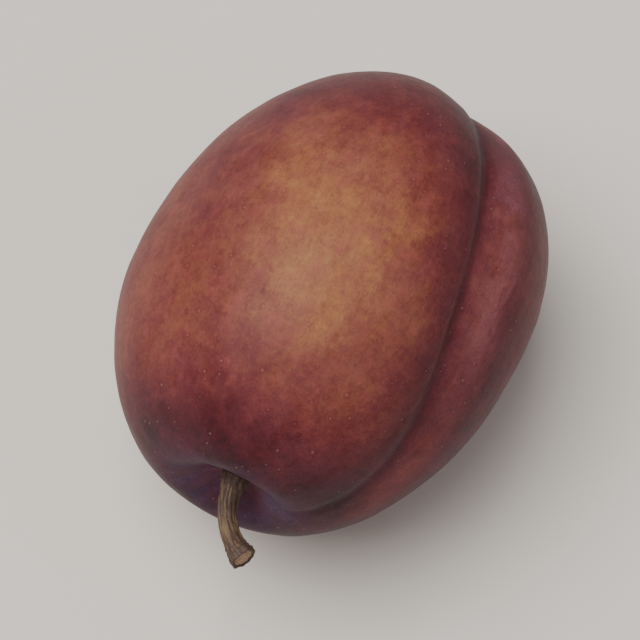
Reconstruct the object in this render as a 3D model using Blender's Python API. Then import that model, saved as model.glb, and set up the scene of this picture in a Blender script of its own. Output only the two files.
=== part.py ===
"""A red plum as picked, lying on its side: the fruit and its short stalk.

Metres, +Z up. The fruit's long axis lies along Y, its stalk end at -Y. The origin is the middle of
the underside, on the small flat spot that the plum rests on.
"""

import math

import bmesh
import bpy
from mathutils import Euler, Vector

# Overall size of the fruit
FRUIT_LENGTH = 0.0410
SUTURE_WIDTH = 0.0335
CHEEK_WIDTH = 0.0325

# How the fruit lies
SUTURE_ROLL = math.radians(46)
STALK_END_RISE = math.radians(3)
REST_FLATTENING = 0.0005

# Form of the body, as shares of its half width
TIP_BLUNTNESS = 2.35
STALK_END_BLUNTNESS = 2.08
OBLIQUENESS = 0.040
OBLIQUE_SIDE = math.radians(55)
SUTURE_FLATTENING = 0.020
SUTURE_FLATTENING_SPREAD = 0.95

# Slow waves of the skin: count round the axis, phase, slant along the axis, height as a share of radius
WAVES = ((3.0, 1.1, 2.0, 0.0060), (2.0, -0.6, -3.1, 0.0042))

# Suture: a broad valley with a narrow crease in it, one lobe a little lower than the other.
# Its depth fades towards the stalk between two heights, which run from -1, stalk, to 1, tip.
# It turns evenly round the axis from the tip, and curls further aside below the middle.
SUTURE_TWIST = math.radians(18)
SUTURE_CURL = math.radians(26)
VALLEY_DEPTH = 0.0008
VALLEY_HALF_WIDTH = 0.0036
CREASE_DEPTH = 0.00035
CREASE_HALF_WIDTH = 0.0007
LOBE_STEP = 0.00022
LOBE_STEP_REACH = 0.0070
VALLEY_FADE_RADIUS = 0.0032
CREASE_FADE_RADIUS = 0.0085
GROOVE_SHARE_AT_STALK = 0.6
GROOVE_FADES_FROM = 0.10
GROOVE_FADES_TO = -0.75

# Cavity round the stalk, and the scar at the tip
CAVITY_DEPTH = 0.0038
CAVITY_RADIUS = 0.0041
CAVITY_STEEPNESS = 2.3
TIP_DIMPLE_DEPTH = 0.0004
TIP_DIMPLE_RADIUS = 0.0019
TIP_SCAR_HEIGHT = 0.00022
TIP_SCAR_RADIUS = 0.0006

# Stalk
STALK_LENGTH = 0.0080
STALK_RADIUS = 0.00085
STALK_BEND = math.radians(62)
STALK_BEND_SIDE = math.radians(36)
STALK_FOOT_FLARE = 0.50
STALK_FOOT_REACH = 0.16
STALK_TIP_FLARE = 0.38
STALK_TIP_REACH = 0.14
STALK_POINTS = 14
STALK_BEVEL_RESOLUTION = 5
TOUCHING_GAP = 0.0003

# Mesh density
MERIDIANS = 72
RINGS = 40
MERIDIAN_CROWDING = 0.82
RING_CROWDING = 0.27

# Edge of the block that cuts the flat spot
CUTTER_SIZE = 0.08

SKIN_COLOUR = (0.216, 0.058, 0.045, 1.0)
SKIN_ROUGHNESS = 0.42
STALK_COLOUR = (0.130, 0.092, 0.040, 1.0)
STALK_ROUGHNESS = 0.75


def bell(distance, width, power=2.0):
    """Returns a smooth bump that is 1 at distance 0 and fades over width."""
    return math.exp(-((abs(distance) / width) ** power))


def smooth_step(value, low, high):
    """Returns 0 below low, 1 above high and an even ramp between."""
    share = min(max((value - low) / (high - low), 0.0), 1.0)
    return share * share * (3.0 - 2.0 * share)


def crowded_angles(unit):
    """Returns polar and azimuth angles of a sphere point, with lines crowded where the form is fine.

    The polar angle is 0 at the tip and pi at the stalk. The azimuth is 0 on the suture.
    """
    polar = math.acos(min(max(unit.z, -1.0), 1.0))
    azimuth = math.atan2(unit.x, unit.y)
    polar -= RING_CROWDING * math.sin(2.0 * polar)
    azimuth -= MERIDIAN_CROWDING * math.sin(azimuth)
    return polar, azimuth


def body_radius(height, azimuth):
    """Returns the plain body's distance from its axis, for a height from -1, stalk, to 1, tip."""
    bluntness = TIP_BLUNTNESS if height > 0.0 else STALK_END_BLUNTNESS
    radius = math.sqrt(max(1.0 - abs(height) ** bluntness, 0.0)) * 0.5
    shoulder = 2.0 * height * math.sqrt(max(1.0 - height * height, 0.0))
    radius *= 1.0 + OBLIQUENESS * shoulder * math.cos(azimuth - OBLIQUE_SIDE)
    radius *= 1.0 - SUTURE_FLATTENING * bell(azimuth, SUTURE_FLATTENING_SPREAD)
    swell = sum(share * math.sin(count * azimuth + phase + slant * height)
                for count, phase, slant, share in WAVES)
    return radius * (1.0 + swell * (1.0 - height * height))


def suture_azimuth(height):
    """Returns where round the axis the crease runs at a height."""
    return SUTURE_CURL * min(height, 0.0) ** 2 - SUTURE_TWIST * height


def groove_depth(height, radius, azimuth):
    """Returns how far the suture sinks the skin at a point, radius and azimuth measured round the axis."""
    across = radius * (azimuth - suture_azimuth(height))
    full = smooth_step(height, GROOVE_FADES_TO, GROOVE_FADES_FROM)
    strength = GROOVE_SHARE_AT_STALK + (1.0 - GROOVE_SHARE_AT_STALK) * full
    valley = VALLEY_DEPTH * bell(across, VALLEY_HALF_WIDTH) * smooth_step(radius, 0.0, VALLEY_FADE_RADIUS)
    crease = CREASE_DEPTH * bell(across, CREASE_HALF_WIDTH) * smooth_step(radius, 0.0, CREASE_FADE_RADIUS)
    lower_lobe = 0.5 + 0.5 * math.tanh(across / CREASE_HALF_WIDTH)
    step = LOBE_STEP * lower_lobe * bell(across, LOBE_STEP_REACH) * smooth_step(radius, 0.0, CREASE_FADE_RADIUS)
    return (valley + crease + step) * strength


def end_sink(height, radius):
    """Returns how far the cavity or the tip's dimple moves a point towards the middle of the fruit."""
    if height < 0.0:
        return CAVITY_DEPTH * bell(radius, CAVITY_RADIUS, CAVITY_STEEPNESS)
    dimple = TIP_DIMPLE_DEPTH * bell(radius, TIP_DIMPLE_RADIUS)
    return dimple - TIP_SCAR_HEIGHT * bell(radius, TIP_SCAR_RADIUS)


def fruit_point(unit):
    """Maps a point of the unit sphere to the fruit's skin: axis on Y, suture towards +Z."""
    polar, azimuth = crowded_angles(unit)
    height = math.cos(polar)
    radius = body_radius(height, azimuth)
    side = Vector((math.sin(azimuth) * CHEEK_WIDTH, 0.0, math.cos(azimuth) * SUTURE_WIDTH))
    point = side * radius
    point.y = 0.5 * FRUIT_LENGTH * height
    distance = math.hypot(point.x, point.z)

    outward = Vector((math.sin(azimuth) * math.sin(polar), 0.0, math.cos(azimuth) * math.sin(polar)))
    outward.y = math.cos(polar) * CHEEK_WIDTH / FRUIT_LENGTH
    outward.normalize()
    point -= outward * groove_depth(height, distance, azimuth)
    point.y -= math.copysign(end_sink(height, distance), height)
    return point


def stretch_to_size(mesh):
    """Scales a mesh along its own axes to the fruit's driving sizes, centred on its axis."""
    sizes = Vector((CHEEK_WIDTH, FRUIT_LENGTH, SUTURE_WIDTH))
    low = Vector([min(v.co[i] for v in mesh.verts) for i in range(3)])
    high = Vector([max(v.co[i] for v in mesh.verts) for i in range(3)])
    for vertex in mesh.verts:
        for i in range(3):
            vertex.co[i] *= sizes[i] / (high[i] - low[i])


def skin_material(name, colour, roughness):
    """Returns a Principled material."""
    material = bpy.data.materials.new(name)
    material.use_nodes = True
    shader = material.node_tree.nodes["Principled BSDF"]
    shader.inputs["Base Color"].default_value = colour
    shader.inputs["Roughness"].default_value = roughness
    shader.inputs["Metallic"].default_value = 0.0
    return material


def new_collection(name):
    """Returns a new collection in the scene."""
    collection = bpy.data.collections.new(name)
    bpy.context.scene.collection.children.link(collection)
    return collection


def make_fruit(collection, pose):
    """Makes the fruit in its own frame and turns it as it lies, its lowest point under the floor plane."""
    mesh = bmesh.new()
    bmesh.ops.create_uvsphere(mesh, u_segments=MERIDIANS, v_segments=RINGS, radius=1.0)
    for vertex in mesh.verts:
        vertex.co = fruit_point(vertex.co.normalized())
    stretch_to_size(mesh)
    bmesh.ops.recalc_face_normals(mesh, faces=mesh.faces)
    data = bpy.data.meshes.new("fruit")
    mesh.to_mesh(data)
    mesh.free()
    data.shade_smooth()
    data.materials.append(skin_material("plum skin", SKIN_COLOUR, SKIN_ROUGHNESS))

    fruit = bpy.data.objects.new("fruit", data)
    fruit.parent = pose
    collection.objects.link(fruit)
    return fruit


def cavity_floor(fruit):
    """Returns where the cavity is deepest, along the fruit's own axis."""
    near_axis = [v.co for v in fruit.data.vertices if math.hypot(v.co.x, v.co.z) < STALK_RADIUS and v.co.y < 0.0]
    return max(point.y for point in near_axis)


def make_stalk(collection, pose, start):
    """Makes the stalk as a tapered tube that bends aside as it leaves the cavity."""
    curve = bpy.data.curves.new("stalk", "CURVE")
    curve.dimensions = "3D"
    curve.bevel_depth = STALK_RADIUS
    curve.bevel_resolution = STALK_BEVEL_RESOLUTION
    curve.use_fill_caps = True
    spline = curve.splines.new("POLY")
    spline.points.add(STALK_POINTS - 1)
    arc_radius = STALK_LENGTH / STALK_BEND
    sideways = Vector((math.sin(STALK_BEND_SIDE), 0.0, math.cos(STALK_BEND_SIDE)))
    for i, point in enumerate(spline.points):
        share = i / (STALK_POINTS - 1)
        angle = STALK_BEND * share
        place = sideways * arc_radius * (1.0 - math.cos(angle))
        place.y = start - arc_radius * math.sin(angle)
        point.co = (*place, 1.0)
        foot = STALK_FOOT_FLARE * bell(share, STALK_FOOT_REACH)
        tip = STALK_TIP_FLARE * bell(1.0 - share, STALK_TIP_REACH)
        point.radius = 1.0 + foot + tip
    curve.materials.append(skin_material("plum stalk", STALK_COLOUR, STALK_ROUGHNESS))

    stalk = bpy.data.objects.new("stalk", curve)
    stalk.parent = pose
    collection.objects.link(stalk)
    return stalk


def make_floor_cutter(collection):
    """Makes the block whose top face, at height 0, leaves the flat spot under the fruit."""
    mesh = bmesh.new()
    bmesh.ops.create_cube(mesh, size=CUTTER_SIZE)
    bmesh.ops.translate(mesh, vec=(0.0, 0.0, -0.5 * CUTTER_SIZE), verts=mesh.verts)
    data = bpy.data.meshes.new("rest_cutter")
    mesh.to_mesh(data)
    mesh.free()
    cutter = bpy.data.objects.new("rest_cutter", data)
    cutter.hide_render = True
    cutter.display_type = "WIRE"
    collection.objects.link(cutter)
    return cutter


def cut(target, cutter):
    """Takes the cutter out of the target with a Boolean modifier."""
    modifier = target.modifiers.new("flat spot", "BOOLEAN")
    modifier.operation = "DIFFERENCE"
    modifier.solver = "EXACT"
    modifier.object = cutter


def world_bounds(objects):
    """Returns the lowest and highest corners of the evaluated objects, in world space."""
    bpy.context.view_layer.update()
    graph = bpy.context.evaluated_depsgraph_get()
    points = []
    for thing in objects:
        evaluated = thing.evaluated_get(graph)
        mesh = evaluated.to_mesh()
        points += [evaluated.matrix_world @ v.co for v in mesh.vertices]
        evaluated.to_mesh_clear()
    low = Vector([min(p[i] for p in points) for i in range(3)])
    high = Vector([max(p[i] for p in points) for i in range(3)])
    return low, high


def main():
    """Clears the scene and makes the plum."""
    for old in list(bpy.data.objects):
        bpy.data.objects.remove(old, do_unlink=True)

    parts = new_collection("plum")
    cutters = new_collection("plum cutters")

    pose = bpy.data.objects.new("resting_pose", None)
    pose.rotation_euler = Euler((-STALK_END_RISE, SUTURE_ROLL, 0.0), "YXZ")
    parts.objects.link(pose)

    fruit = make_fruit(parts, pose)
    stalk = make_stalk(parts, pose, cavity_floor(fruit) - TOUCHING_GAP)

    low, high = world_bounds([fruit, stalk])
    middle = (low + high) * 0.5
    pose.location = (-middle.x, -middle.y, -low.z - REST_FLATTENING)
    cut(fruit, make_floor_cutter(cutters))


main()
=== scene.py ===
"""Dresses a small red plum, as picked and lying on its side: its skin with the wax bloom, and its stalk.

Metres, +Z up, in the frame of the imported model. Every piece is first shaped in the fruit's own frame,
whose axis is Y, with the stalk at -Y and the suture towards +Z. The resting pose then turns and moves
it to where the fruit lies. Patterns are laid out in millimetres in that own frame, which each mesh
carries as an attribute. An azimuth is an angle round the axis from the suture, and a height runs from
-1 at the stalk end to 1 at the tip.
"""

import logging
import math
from dataclasses import asdict, dataclass, field, replace
from enum import Enum
from functools import cache

import bpy
import numpy as np
import numpy.typing as npt
from mathutils import Euler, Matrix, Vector, noise


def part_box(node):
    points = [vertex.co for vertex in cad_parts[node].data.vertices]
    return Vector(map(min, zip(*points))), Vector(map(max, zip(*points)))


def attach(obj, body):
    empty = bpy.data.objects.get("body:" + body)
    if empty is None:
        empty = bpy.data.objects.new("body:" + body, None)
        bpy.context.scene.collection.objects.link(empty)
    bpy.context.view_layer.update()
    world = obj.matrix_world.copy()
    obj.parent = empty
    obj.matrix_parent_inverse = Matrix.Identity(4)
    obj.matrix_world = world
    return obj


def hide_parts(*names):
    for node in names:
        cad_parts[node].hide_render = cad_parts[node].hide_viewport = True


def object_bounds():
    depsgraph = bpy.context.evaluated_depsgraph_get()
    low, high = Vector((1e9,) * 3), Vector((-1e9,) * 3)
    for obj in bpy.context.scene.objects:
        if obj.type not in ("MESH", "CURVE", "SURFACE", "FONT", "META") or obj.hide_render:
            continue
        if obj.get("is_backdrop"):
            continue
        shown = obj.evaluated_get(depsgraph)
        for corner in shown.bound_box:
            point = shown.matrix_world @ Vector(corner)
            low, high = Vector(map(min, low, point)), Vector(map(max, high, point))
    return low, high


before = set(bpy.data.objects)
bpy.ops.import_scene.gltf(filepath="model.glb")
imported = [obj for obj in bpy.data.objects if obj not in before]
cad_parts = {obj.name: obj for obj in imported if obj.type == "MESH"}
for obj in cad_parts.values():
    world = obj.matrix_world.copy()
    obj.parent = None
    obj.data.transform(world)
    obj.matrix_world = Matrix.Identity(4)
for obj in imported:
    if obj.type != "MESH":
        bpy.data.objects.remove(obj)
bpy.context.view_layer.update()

FloatArray = npt.NDArray[np.float64]
Colour = tuple[float, float, float, float]
Ramp = tuple[tuple[float, Colour], ...]
Socket = bpy.types.NodeSocket
Source = Socket | float | tuple[float, ...]

# Ends say where a mask is 0 and where it is 1. A course adds what it gives at the two.
Ends = tuple[float, float]
Course = tuple[float, float, float, float]

BODY = "root"
BAKE_MAP = "OFBake"
OWN_FRAME = "own_frame_mm"
MM = 0.001
NOISE_MIDDLE = 0.5
NOISE_ENDS: Ends = (0.3, 0.7)
MOTTLE_ENDS: Ends = (-1.0, 1.0)
MIRRORED = (-1.0, 1.0, 1.0)

log = logging.getLogger("plum")


class Slot(Enum):
    """The record's material slots."""

    SKIN = "plum_skin"
    STALK = "plum_stalk"


class Ease(Enum):
    """How a mask runs between its two ends."""

    EVEN = "LINEAR"
    SMOOTH = "SMOOTHSTEP"


def srgb(red: int, green: int, blue: int) -> Colour:
    """Returns the linear colour of three display values.

    Args:
        red: Red, from 0 to 255.
        green: Green, from 0 to 255.
        blue: Blue, from 0 to 255.

    Returns:
        The colour with full opacity.
    """
    shares = [value / 255.0 for value in (red, green, blue)]
    linear = [s / 12.92 if s <= 0.04045 else ((s + 0.055) / 1.055) ** 2.4 for s in shares]
    return (*linear, 1.0)


def bell(distance: FloatArray | float, width: float, power: float = 2.0) -> FloatArray:
    """Returns a smooth bump that is 1 at distance 0 and fades over width."""
    return np.exp(-((np.abs(distance) / width) ** power))


def smooth_step(value: FloatArray | float, low: float, high: float) -> FloatArray:
    """Returns 0 at low, 1 at high and an even ramp between, for either order of the two."""
    share = np.clip((value - low) / (high - low), 0.0, 1.0)
    return share * share * (3.0 - 2.0 * share)


def rough_noise(points: FloatArray, size: float, octaves: int = 2) -> FloatArray:
    """Returns fixed noise from about -1 to 1 at each point.

    Args:
        points: Points of shape (count, 3).
        size: Distance over which the noise changes, in the points' own unit.
        octaves: Number of layers, each half the size of the one before.

    Returns:
        One value for each point.
    """
    apart = 17.3
    values = np.zeros(len(points))
    for octave in range(octaves):
        scaled = points * (2.0 ** octave / size) + octave * apart
        values += np.array([noise.noise(Vector(point)) for point in scaled]) * 0.5 ** octave
    return values


def socket_label(name: str) -> str:
    """Returns the label of a group's input, with spaces and a capital."""
    return name.replace("_", " ").capitalize()


class Graph:
    """Adds and joins the shader nodes of one node tree."""

    def __init__(self, tree: bpy.types.NodeTree) -> None:
        """Keeps the tree that the nodes go into."""
        self.tree = tree

    def node(self, kind: str, **settings: object) -> bpy.types.Node:
        """Adds one node.

        Args:
            kind: Blender's name of the node type.
            **settings: Properties of the node and their values.

        Returns:
            The new node.
        """
        made = self.tree.nodes.new(kind)
        for name, value in settings.items():
            setattr(made, name, value)
        return made

    def feed(self, socket: Socket, value: Source) -> None:
        """Joins a socket to another one, or sets its own value.

        Args:
            socket: The socket that is fed.
            value: What it is joined to, or its own value.
        """
        if isinstance(value, Socket):
            self.tree.links.new(value, socket)
        else:
            socket.default_value = value

    def calc(self, operation: str, *terms: Source, clamp: bool = False) -> Socket:
        """Adds one Math node.

        Args:
            operation: Blender's name of the operation.
            *terms: What the node reads.
            clamp: Whether the result is kept from 0 to 1.

        Returns:
            The result.
        """
        made = self.node("ShaderNodeMath", operation=operation, use_clamp=clamp)
        for socket, term in zip(made.inputs, terms):
            self.feed(socket, term)
        return made.outputs[0]

    def total(self, *terms: Source, clamp: bool = False) -> Socket:
        """Adds up two or more values.

        Args:
            *terms: The values.
            clamp: Whether the sum is kept from 0 to 1.

        Returns:
            The sum.
        """
        added = terms[0]
        for term in terms[1:-1]:
            added = self.calc("ADD", added, term)
        return self.calc("ADD", added, terms[-1], clamp=clamp)

    def product(self, *terms: Source) -> Socket:
        """Multiplies two or more values.

        Args:
            *terms: The values.

        Returns:
            The product.
        """
        made = terms[0]
        for term in terms[1:]:
            made = self.calc("MULTIPLY", made, term)
        return made

    def hypot(self, first: Source, second: Source) -> Socket:
        """Returns the root of the sum of two squares."""
        squares = self.total(self.product(first, first), self.product(second, second))
        return self.calc("SQRT", squares)

    def bell(self, distance: Source, width: Source) -> Socket:
        """Makes a smooth bump.

        Args:
            distance: How far a point is from the bump's middle.
            width: Distance over which it fades.

        Returns:
            A value that is 1 in the middle and nears 0 far from it.
        """
        share = self.calc("DIVIDE", distance, width)
        square = self.calc("MULTIPLY", share, share)
        return self.calc("EXPONENT", self.calc("MULTIPLY", square, -1.0))

    def span(
        self,
        value: Source,
        low: Source,
        high: Source,
        to_low: Source = 0.0,
        to_high: Source = 1.0,
        ease: Ease = Ease.SMOOTH,
    ) -> Socket:
        """Maps a value from one span to another and holds it at the ends.

        Args:
            value: What is mapped.
            low: Value that gives to_low.
            high: Value that gives to_high.
            to_low: Result at low.
            to_high: Result at high.
            ease: How the result runs between the ends.

        Returns:
            The mapped value.
        """
        made = self.node("ShaderNodeMapRange", interpolation_type=ease.value, clamp=True)
        labels = ("Value", "From Min", "From Max", "To Min", "To Max")
        for label, term in zip(labels, (value, low, high, to_low, to_high)):
            self.feed(made.inputs[label], term)
        return made.outputs["Result"]

    def mix(self, share: Source, first: Source, second: Source) -> Socket:
        """Blends two colours.

        Args:
            share: How much of the second colour covers the first.
            first: The colour below.
            second: The colour above.

        Returns:
            The blended colour.
        """
        made = self.node("ShaderNodeMix", data_type="RGBA", clamp_factor=True)
        for index, term in ((0, share), (6, first), (7, second)):
            self.feed(made.inputs[index], term)
        return made.outputs[2]

    def parts(self, vector: Source) -> tuple[Socket, ...]:
        """Splits a vector.

        Args:
            vector: The vector.

        Returns:
            Its three parts.
        """
        made = self.node("ShaderNodeSeparateXYZ")
        self.feed(made.inputs[0], vector)
        return tuple(made.outputs)

    def joined(self, *parts: Source) -> Socket:
        """Joins three values.

        Args:
            *parts: The values.

        Returns:
            The vector of the three.
        """
        made = self.node("ShaderNodeCombineXYZ")
        for socket, part in zip(made.inputs, parts):
            self.feed(socket, part)
        return made.outputs[0]

    def scaled(self, vector: Source, factors: Source) -> Socket:
        """Multiplies each part of a vector by its own factor.

        Args:
            vector: The vector.
            factors: Three factors, or the vector of them.

        Returns:
            The scaled vector.
        """
        made = self.node("ShaderNodeVectorMath", operation="MULTIPLY")
        self.feed(made.inputs[0], vector)
        self.feed(made.inputs[1], factors)
        return made.outputs["Vector"]

    def noise(self, vector: Source, size: Source, detail: float = 3.0, roughness: float = 0.55) -> Socket:
        """Makes noise with blots of a size.

        Args:
            vector: Place where the noise is read.
            size: Size of the blots, in the vector's unit.
            detail: How many finer layers are added.
            roughness: How strong the finer layers are.

        Returns:
            Noise from 0 to 1.
        """
        made = self.node("ShaderNodeTexNoise", noise_dimensions="3D")
        self.feed(made.inputs["Vector"], vector)
        self.feed(made.inputs["Scale"], self.calc("DIVIDE", 1.0, size))
        self.feed(made.inputs["Detail"], detail)
        self.feed(made.inputs["Roughness"], roughness)
        return made.outputs["Fac"]

    def swing(self, vector: Source, size: Source, detail: float = 3.0, roughness: float = 0.55) -> Socket:
        """Returns the same noise moved to lie from -0.5 to 0.5."""
        return self.calc("SUBTRACT", self.noise(vector, size, detail, roughness), NOISE_MIDDLE)

    def ramp(self, value: Source, stops: Ramp) -> Socket:
        """Picks a colour by a value.

        Args:
            value: The value, from 0 to 1.
            stops: The colours, each with its position.

        Returns:
            The colour.
        """
        made = self.node("ShaderNodeValToRGB")
        self.feed(made.inputs["Fac"], value)
        elements = made.color_ramp.elements
        while len(elements) < len(stops):
            elements.new(0.5)
        for element, (position, colour) in zip(elements, stops):
            element.position = position
            element.color = colour
        return made.outputs["Color"]

    def effect(self, tree: bpy.types.NodeTree, **values: Source) -> Socket:
        """Places an effect's node group.

        Args:
            tree: The group.
            **values: Its inputs, by name.

        Returns:
            The group's output.
        """
        made = self.node("ShaderNodeGroup", node_tree=tree)
        for name, value in values.items():
            self.feed(made.inputs[socket_label(name)], value)
        return made.outputs[0]

    def relief(self, height: Source, depth: float, normal: Socket | None = None) -> Socket:
        """Returns a normal bent by a height field.

        Args:
            height: The field, from 0 to 1.
            depth: Real depth of the field, in metres.
            normal: Normal to start from, if another relief comes first.

        Returns:
            The bent normal.
        """
        made = self.node("ShaderNodeBump")
        made.inputs["Distance"].default_value = depth
        self.feed(made.inputs["Height"], height)
        if normal is not None:
            self.feed(made.inputs["Normal"], normal)
        return made.outputs["Normal"]


class EffectGraph(Graph):
    """The node group of an effect that several materials share: a vector and numbers in, one number out."""

    def __init__(self, name: str, output: str, **inputs: float) -> None:
        """Starts the group.

        Args:
            name: The group's name.
            output: Name of its output.
            **inputs: Names of its number inputs and their usual values.
        """
        super().__init__(bpy.data.node_groups.new(name, "ShaderNodeTree"))
        sockets = self.tree.interface
        sockets.new_socket(name="Vector", in_out="INPUT", socket_type="NodeSocketVector")
        for label, usual in inputs.items():
            shown = socket_label(label)
            made = sockets.new_socket(name=shown, in_out="INPUT", socket_type="NodeSocketFloat")
            made.default_value = usual
        sockets.new_socket(name=output, in_out="OUTPUT", socket_type="NodeSocketFloat")
        entry = self.node("NodeGroupInput")
        self.vector = entry.outputs["Vector"]
        self.inputs = {label: entry.outputs[index + 1] for index, label in enumerate(inputs)}

    def closed(self, result: Socket) -> bpy.types.NodeTree:
        """Joins the result to the group's output and returns the group."""
        self.feed(self.node("NodeGroupOutput").inputs[0], result)
        return self.tree


@cache
def mottle() -> bpy.types.NodeTree:
    """Builds the group of soft blotches, with blots of a size in millimetres.

    Returns:
        The group, whose value runs from -1 to 1.
    """
    graph = EffectGraph("mottle", "Value", size=4.0, contrast=3.0)
    strong = graph.product(graph.swing(graph.vector, graph.inputs["size"]), graph.inputs["contrast"])
    return graph.closed(graph.calc("MAXIMUM", graph.calc("MINIMUM", strong, 1.0), -1.0))


@cache
def speckle() -> bpy.types.NodeTree:
    """Builds the group of scattered dots of uneven size, with sizes in millimetres.

    Returns:
        The group, whose mask is 1 in a dot.
    """
    graph = EffectGraph("speckle", "Mask", spacing=2.0, size=0.15, share=0.7)
    smallest, largest, core = 0.5, 1.3, 0.45
    cells = graph.node("ShaderNodeTexVoronoi", voronoi_dimensions="3D", feature="F1")
    graph.feed(cells.inputs["Vector"], graph.vector)
    graph.feed(cells.inputs["Scale"], graph.calc("DIVIDE", 1.0, graph.inputs["spacing"]))
    away = graph.product(cells.outputs["Distance"], graph.inputs["spacing"])
    lots = graph.node("ShaderNodeSeparateColor")
    graph.feed(lots.inputs[0], cells.outputs["Color"])
    uneven = graph.span(lots.outputs[0], 0.0, 1.0, smallest, largest, Ease.EVEN)
    size = graph.product(graph.inputs["size"], uneven)
    dot = graph.span(away, size, graph.product(size, core))
    kept = graph.calc("LESS_THAN", lots.outputs[1], graph.inputs["share"])
    return graph.closed(graph.product(dot, kept))


@cache
def streaks() -> bpy.types.NodeTree:
    """Builds the group of fibres that run along the axis, with sizes in millimetres.

    Returns:
        The group, whose value runs from 0 to 1.
    """
    graph = EffectGraph("streaks", "Value", width=0.5, length=6.0)
    across = graph.calc("DIVIDE", 1.0, graph.inputs["width"])
    along = graph.calc("DIVIDE", 1.0, graph.inputs["length"])
    drawn = graph.scaled(graph.vector, graph.joined(across, along, across))
    return graph.closed(graph.noise(drawn, 1.0, detail=2.0))


@cache
def wax() -> bpy.types.NodeTree:
    """Builds the group of a powdery wax bloom that is patchy, grained and rubbed off in places.

    Returns:
        The group, whose mask is 1 where the wax hides what is under it.
    """
    graph = EffectGraph("wax bloom", "Mask", cover=0.5, patch_size=5.0, rubbing=0.5)
    grain_size, wipe_size = 0.16, 1.6
    wipe_stretch = (0.9, 0.28, 0.5)
    patch_level: Course = (0.30, 0.72, 0.35, 1.0)
    grain_level: Course = (*NOISE_ENDS, 0.55, 1.35)
    wipe_edge: Ends = (0.51, 0.62)
    patches = graph.noise(graph.vector, graph.inputs["patch_size"], detail=4.0, roughness=0.6)
    grain = graph.noise(graph.vector, grain_size, detail=2.0)
    wiped = graph.noise(graph.scaled(graph.vector, wipe_stretch), wipe_size, roughness=0.6)
    rubbed = graph.product(graph.span(wiped, *wipe_edge), graph.inputs["rubbing"])
    level = graph.product(
        graph.span(patches, *patch_level),
        graph.span(grain, *grain_level, ease=Ease.EVEN),
        graph.calc("SUBTRACT", 1.0, rubbed),
    )
    return graph.closed(graph.calc("MULTIPLY", level, graph.inputs["cover"], clamp=True))


@cache
def skin_spot() -> bpy.types.NodeTree:
    """Builds the group of one soft place on the skin, with its azimuth, its height and its half sizes.

    The vector holds the point's azimuth in degrees, its height and its distance from the axis in mm.

    Returns:
        The group, whose mask is 1 inside the place.
    """
    graph = EffectGraph(
        "skin spot", "Mask", azimuth=0.0, height=0.0, half_width=4.0, half_length=4.0, slant=0.0, edge=0.6
    )
    azimuth, height, distance = graph.parts(graph.vector)
    up = graph.calc("SUBTRACT", height, graph.inputs["height"])
    middle = graph.calc("MULTIPLY_ADD", up, graph.inputs["slant"], graph.inputs["azimuth"])
    turn = graph.calc("WRAP", graph.calc("SUBTRACT", azimuth, middle), 180.0, -180.0)
    across = graph.product(graph.calc("RADIANS", turn), distance)
    along = graph.product(up, 0.5 * FruitForm.length / MM)
    wide = graph.calc("DIVIDE", across, graph.inputs["half_width"])
    tall = graph.calc("DIVIDE", along, graph.inputs["half_length"])
    inner = graph.calc("SUBTRACT", 1.0, graph.inputs["edge"])
    outer = graph.calc("ADD", 1.0, graph.inputs["edge"])
    return graph.closed(graph.span(graph.hypot(wide, tall), outer, inner))


def own_frame(graph: Graph) -> Socket:
    """Returns the point's place in the fruit's own frame, in millimetres."""
    return graph.node("ShaderNodeAttribute", attribute_name=OWN_FRAME).outputs["Vector"]


def new_finish(name: str) -> tuple[bpy.types.Material, Graph, bpy.types.Node]:
    """Starts a material.

    Args:
        name: The material's name.

    Returns:
        The material, its graph and its Principled BSDF.
    """
    material = bpy.data.materials.new(name)
    material.use_nodes = True
    return material, Graph(material.node_tree), material.node_tree.nodes["Principled BSDF"]


@dataclass(frozen=True)
class Wave:
    """One slow swell round the body: times round, start, lean along the axis, and share of the radius."""

    count: float
    phase: float
    lean: float
    share: float


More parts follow.
